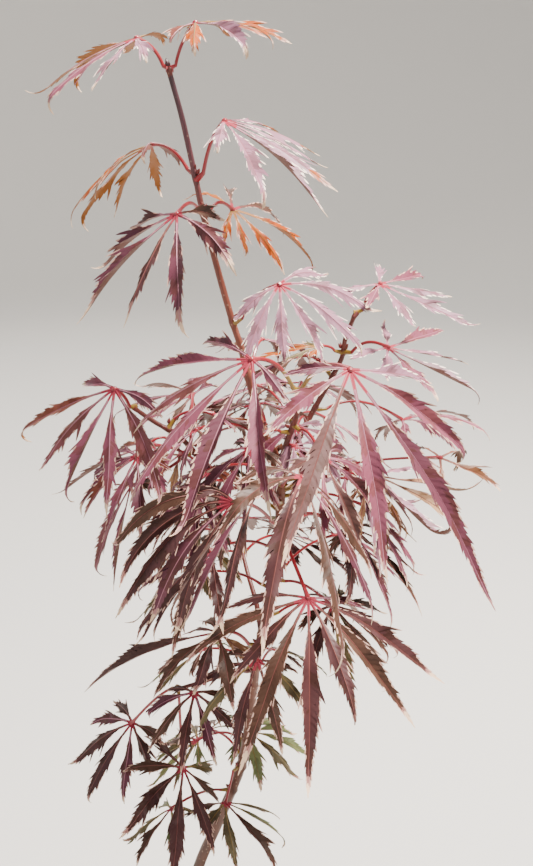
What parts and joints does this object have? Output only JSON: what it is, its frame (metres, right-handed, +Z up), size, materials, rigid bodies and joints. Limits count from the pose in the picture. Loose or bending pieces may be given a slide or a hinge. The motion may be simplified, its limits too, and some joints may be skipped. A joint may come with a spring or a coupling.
{
  "type": "potted japanese maple",
  "caption": "Young cut-leaf Japanese maple with purple-bronze drooping leaves on one slender leaning stem, growing in a plain black nursery pot.",
  "frame": {"origin": "centre of the pot's flat underside, on the surface the pot stands on", "axes": "+Z up along the stem, -Y towards the front of the plant, +X to the right as seen from the front"},
  "size_m": [0.2694, 0.2889, 0.791],
  "materials": {
    "pot_plastic": "satin black moulded plastic",
    "potting_mix": "matte bark and peat",
    "bark": "smooth satin young bark",
    "leaf_upper": "satin leaf",
    "leaf_middle": "satin leaf",
    "leaf_lower": "satin leaf"
  },
  "bodies": {
    "root": {"pot": "pot_plastic", "potting_mix": "potting_mix", "stem": "bark", "shoot_front": "bark", "shoot_right": "bark", "shoot_left": "bark", "shoot_low": "bark", "shoot_back_high": "bark", "shoot_back_low": "bark", "leaves_tip": "leaf_upper", "leaf_second_left": "leaf_upper", "leaf_second_right": "leaf_upper", "leaf_third_left": "leaf_upper", "leaf_third_right": "leaf_upper", "leaf_fourth_right": "leaf_upper", "leaves_right": "leaf_upper", "leaf_right_low": "leaf_middle", "leaf_right_back": "leaf_middle", "leaves_front": "leaf_middle", "leaves_left": "leaf_middle", "leaf_left_low": "leaf_middle", "leaf_left_mid": "leaf_middle", "leaf_left_back": "leaf_middle", "leaf_centre_front": "leaf_middle", "leaf_centre_dark": "leaf_middle", "leaf_centre_left": "leaf_middle", "leaf_centre_back": "leaf_middle", "leaf_lower_right": "leaf_middle", "leaf_withered": "leaf_middle", "leaf_low_left": "leaf_lower", "leaves_low": "leaf_lower", "leaf_bottom_right": "leaf_lower", "leaf_bottom_back": "leaf_lower", "leaf_bottom_left": "leaf_lower", "leaves_back_high": "leaf_middle", "leaves_back_low": "leaf_middle", "leaf_back_right": "leaf_middle", "leaf_lower_back": "leaf_lower", "leaf_bottom_rear": "leaf_lower"}
  },
  "joints": []
}
